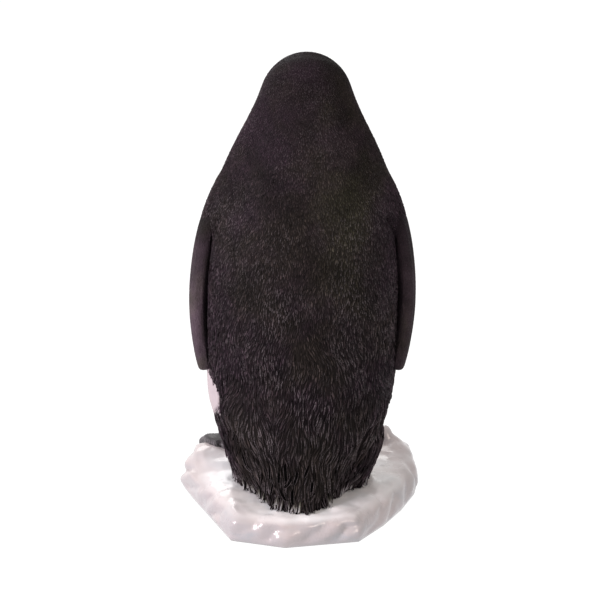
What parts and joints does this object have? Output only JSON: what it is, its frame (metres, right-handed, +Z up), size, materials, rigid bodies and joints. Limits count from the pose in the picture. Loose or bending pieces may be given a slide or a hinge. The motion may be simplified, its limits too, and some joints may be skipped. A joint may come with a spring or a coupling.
{
  "type": "emperor penguin statue",
  "caption": "Life-size cast statue of a standing adult emperor penguin with a bowed head and folded flippers, on a low slab of sculpted ice.",
  "frame": {"origin": "centre of the bounding box of the slab's flat underside", "axes": "+Z up; -Y is the way the bird faces; +X is the bird's left"},
  "size_m": [0.54, 0.562, 0.9955],
  "materials": {
    "black_paint": "satin near-black paint on cast resin",
    "white_paint": "satin warm white paint on cast resin",
    "foot_paint": "satin dark grey paint on cast resin",
    "bill_paint": "semi-gloss black paint on cast resin",
    "mandible_paint": "semi-gloss orange-pink paint on cast resin",
    "eye_gloss": "high-gloss dark brown lacquer",
    "claw_paint": "semi-gloss black paint on cast resin",
    "ice_gloss": "glossy pearl white lacquer on cast resin"
  },
  "bodies": {
    "root": {"ice_base": "ice_gloss", "trunk": "white_paint", "neck": "black_paint", "head": "black_paint", "tail": "black_paint", "leg_left": "black_paint", "leg_right": "black_paint", "wing_left": "black_paint", "wing_right": "black_paint", "bill_upper": "bill_paint", "bill_lower": "mandible_paint", "eye_left": "eye_gloss", "eye_right": "eye_gloss", "foot_left": "foot_paint", "foot_right": "foot_paint", "claw_left_1": "claw_paint", "claw_left_2": "claw_paint", "claw_left_3": "claw_paint", "claw_right_1": "claw_paint", "claw_right_2": "claw_paint", "claw_right_3": "claw_paint"}
  },
  "joints": []
}
